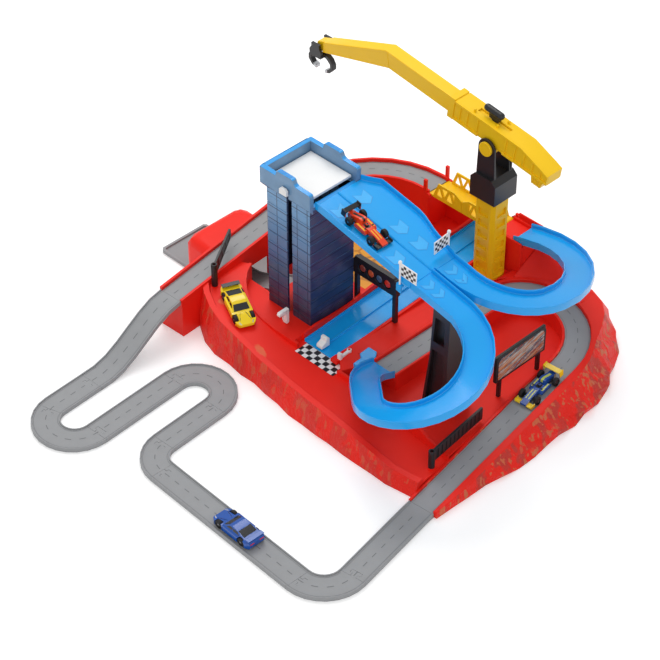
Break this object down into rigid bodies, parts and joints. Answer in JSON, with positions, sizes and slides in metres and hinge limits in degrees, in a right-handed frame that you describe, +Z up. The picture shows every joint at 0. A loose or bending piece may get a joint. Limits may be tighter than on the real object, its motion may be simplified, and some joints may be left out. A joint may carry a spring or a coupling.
{
  "type": "toy race track playset",
  "caption": "Toy race track playset: red rocky base with grey roads, blue lift tower with forked ramp, yellow crane, two-leaf bridge and flexible floor track",
  "frame": {"origin": "middle of the floor rectangle that the whole set covers", "axes": "+X along the front of the base from the lift tower side to the low road side, +Y from the front lane to the rear bridge, +Z up"},
  "size_m": [0.6866, 0.7342, 0.3298],
  "materials": {
    "black_plastic": "satin",
    "car_blue": "gloss",
    "car_red": "gloss",
    "car_yellow": "gloss",
    "orange_floor": "matte",
    "red_plastic": "satin",
    "road_grey": "matte",
    "tower_blue": "gloss",
    "track_blue": "gloss",
    "wheel_black": "satin",
    "white_plastic": "satin",
    "yellow_plastic": "gloss"
  },
  "bodies": {
    "base": {"rear_road_wall": "red_plastic", "front_lane": "red_plastic", "right_road_bank": "red_plastic", "deck": "red_plastic", "high_road": "road_grey", "loop_road": "road_grey", "tunnel_road": "road_grey", "drag_strip": "track_blue", "rear_floor_sheet": "orange_floor", "floor_track_01": "road_grey", "floor_track_02": "road_grey", "floor_track_03": "road_grey", "floor_track_04": "road_grey", "floor_track_05": "road_grey", "floor_track_06": "road_grey", "floor_track_07": "road_grey", "floor_track_08": "road_grey", "floor_track_09": "road_grey", "floor_track_10": "road_grey", "floor_track_11": "road_grey", "tower_shell": "tower_blue", "tower_parapet": "tower_blue", "ramp_deck": "track_blue", "left_branch_track": "track_blue", "right_branch_track": "track_blue", "track_pillar": "black_plastic", "crane_column": "yellow_plastic", "gantry_frame": "black_plastic", "flag_front": "white_plastic", "flag_rear": "white_plastic", "billboard_frame": "black_plastic"},
    "lift": {"lift_platform": "white_plastic"},
    "tower_catch": {"tower_lever": "white_plastic"},
    "finish_arm": {"finish_lever": "white_plastic"},
    "crane_swivel": {"swivel_housing": "black_plastic", "boom_pin": "yellow_plastic"},
    "crane_boom": {"boom_sleeve": "yellow_plastic"},
    "boom_extension": {"boom_inner": "yellow_plastic", "boom_handle": "black_plastic"},
    "tail_grip": {"tail_trigger": "yellow_plastic"},
    "claw": {"claw_head": "black_plastic"},
    "jaw_front": {"claw_jaw_front": "black_plastic"},
    "jaw_rear": {"claw_jaw_rear": "black_plastic"},
    "left_leaf": {"bridge_leaf_left": "yellow_plastic"},
    "right_leaf": {"bridge_leaf_right": "yellow_plastic"},
    "left_diverter": {"left_gate": "black_plastic"},
    "right_barrier": {"right_gate": "black_plastic"},
    "tunnel_flap": {"rear_flap": "road_grey"},
    "yellow_car_body": {"yellow_car": "car_yellow"},
    "yellow_car_front_wheels": {"yellow_car_front_axle": "wheel_black"},
    "yellow_car_rear_wheels": {"yellow_car_rear_axle": "wheel_black"},
    "blue_car_body": {"blue_car": "car_blue"},
    "blue_car_front_wheels": {"blue_car_front_axle": "wheel_black"},
    "blue_car_rear_wheels": {"blue_car_rear_axle": "wheel_black"},
    "red_racer_body": {"red_racer": "car_red"},
    "red_racer_front_wheels": {"red_racer_front_axle": "wheel_black"},
    "red_racer_rear_wheels": {"red_racer_rear_axle": "wheel_black"},
    "blue_racer_body": {"blue_racer": "car_blue"},
    "blue_racer_front_wheels": {"blue_racer_front_axle": "wheel_black"},
    "blue_racer_rear_wheels": {"blue_racer_rear_axle": "wheel_black"}
  },
  "joints": [
    {"name": "lift_slide", "type": "slide", "parent": "base", "child": "lift", "axis": [0, 0, 1], "range_m": [-0.212, 0]},
    {"name": "tower_catch_hinge", "type": "hinge", "parent": "base", "child": "tower_catch", "pos_m": [-0.06475, 0.00671, 0.044], "axis": [0, 0, 1], "range_deg": [-60, 60]},
    {"name": "finish_arm_hinge", "type": "hinge", "parent": "base", "child": "finish_arm", "pos_m": [0.04725, 0.02271, 0.044], "axis": [0, 0, 1], "range_deg": [-5, 60]},
    {"name": "crane_swivel_hinge", "type": "hinge", "parent": "base", "child": "crane_swivel", "pos_m": [0.06225, 0.28971, 0.182], "axis": [0, 0, 1], "range_deg": [-150, 40]},
    {"name": "crane_boom_hinge", "type": "hinge", "parent": "crane_swivel", "child": "crane_boom", "pos_m": [0.06225, 0.28971, 0.268], "axis": [0, 1, 0], "range_deg": [-20, 14]},
    {"name": "boom_extension_slide", "type": "slide", "parent": "crane_boom", "child": "boom_extension", "axis": [-0.9903, 0, 0.1392], "range_m": [-0.025, 0.025]},
    {"name": "tail_grip_hinge", "type": "hinge", "parent": "crane_boom", "child": "tail_grip", "pos_m": [0.12582, 0.28971, 0.26765], "axis": [0, 1, 0], "range_deg": [-12, 0]},
    {"name": "claw_hinge", "type": "hinge", "parent": "boom_extension", "child": "claw", "pos_m": [-0.27585, 0.28971, 0.27088], "axis": [0, 1, 0], "range_deg": [-12, 30]},
    {"name": "jaw_front_hinge", "type": "hinge", "parent": "claw", "child": "jaw_front", "pos_m": [-0.28185, 0.28971, 0.25909], "axis": [0, 1, 0], "range_deg": [0, 20]},
    {"name": "jaw_rear_hinge", "type": "hinge", "parent": "claw", "child": "jaw_rear", "pos_m": [-0.26985, 0.28971, 0.25909], "axis": [0, 1, 0], "range_deg": [-20, 0]},
    {"name": "left_leaf_hinge", "type": "hinge", "parent": "base", "child": "left_leaf", "pos_m": [-0.07725, 0.33491, 0.0927], "axis": [0, -1, 0], "range_deg": [0, 60]},
    {"name": "right_leaf_hinge", "type": "hinge", "parent": "base", "child": "right_leaf", "pos_m": [0.04575, 0.33491, 0.0927], "axis": [0, 1, 0], "range_deg": [0, 60]},
    {"name": "left_diverter_hinge", "type": "hinge", "parent": "base", "child": "left_diverter", "pos_m": [-0.17225, -0.02529, 0.062], "axis": [0, 0, 1], "range_deg": [-20, 20]},
    {"name": "right_barrier_hinge", "type": "hinge", "parent": "base", "child": "right_barrier", "pos_m": [0.26522, -0.04329, 0.0186], "axis": [0, 0, 1], "range_deg": [-10, 15]},
    {"name": "tunnel_flap_hinge", "type": "hinge", "parent": "base", "child": "tunnel_flap", "pos_m": [-0.27725, 0.06471, 0.0042], "axis": [0, 1, 0], "range_deg": [0, 80]},
    {"name": "yellow_car_lift", "type": "slide", "parent": "base", "child": "yellow_car_body", "axis": [0, 0, 1], "range_m": [0, 0.05]},
    {"name": "yellow_car_front_axle_hinge", "type": "hinge", "parent": "yellow_car_body", "child": "yellow_car_front_wheels", "pos_m": [-0.09802, -0.03906, 0.05496], "axis": [0.3713, 0.9284, -0.0165], "continuous": true},
    {"name": "yellow_car_rear_axle_hinge", "type": "hinge", "parent": "yellow_car_body", "child": "yellow_car_rear_wheels", "pos_m": [-0.13703, -0.0233, 0.06384], "axis": [0.3713, 0.9284, -0.0165], "continuous": true},
    {"name": "blue_car_lift", "type": "slide", "parent": "base", "child": "blue_car_body", "axis": [0, 0, 1], "range_m": [0, 0.05]},
    {"name": "blue_car_front_axle_hinge", "type": "hinge", "parent": "blue_car_body", "child": "blue_car_front_wheels", "pos_m": [0.14244, -0.29466, 0.01135], "axis": [0.0314, 0.9995, 0], "continuous": true},
    {"name": "blue_car_rear_axle_hinge", "type": "hinge", "parent": "blue_car_body", "child": "blue_car_rear_wheels", "pos_m": [0.18542, -0.29601, 0.01135], "axis": [0.0314, 0.9995, 0], "continuous": true},
    {"name": "red_racer_lift", "type": "slide", "parent": "base", "child": "red_racer_body", "axis": [0, 0, 1], "range_m": [0, 0.05]},
    {"name": "red_racer_front_axle_hinge", "type": "hinge", "parent": "red_racer_body", "child": "red_racer_front_wheels", "pos_m": [0.07351, 0.0476, 0.24388], "axis": [0.0503, 0.9987, -0.0101], "continuous": true},
    {"name": "red_racer_rear_axle_hinge", "type": "hinge", "parent": "red_racer_body", "child": "red_racer_rear_wheels", "pos_m": [0.03138, 0.04981, 0.25217], "axis": [0.0503, 0.9987, -0.0101], "continuous": true},
    {"name": "blue_racer_lift", "type": "slide", "parent": "base", "child": "blue_racer_body", "axis": [0, 0, 1], "range_m": [0, 0.05]},
    {"name": "blue_racer_front_axle_hinge", "type": "hinge", "parent": "blue_racer_body", "child": "blue_racer_front_wheels", "pos_m": [0.27679, 0.13654, 0.03567], "axis": [0.9952, 0.0976, 0], "continuous": true},
    {"name": "blue_racer_rear_axle_hinge", "type": "hinge", "parent": "blue_racer_body", "child": "blue_racer_rear_wheels", "pos_m": [0.27262, 0.17911, 0.04009], "axis": [0.9952, 0.0976, 0], "continuous": true}
  ],
  "couplings": [
    {"joint": "jaw_front_hinge", "follows": "tail_grip_hinge", "ratio": -1.6},
    {"joint": "jaw_rear_hinge", "follows": "tail_grip_hinge", "ratio": 1.6}
  ]
}
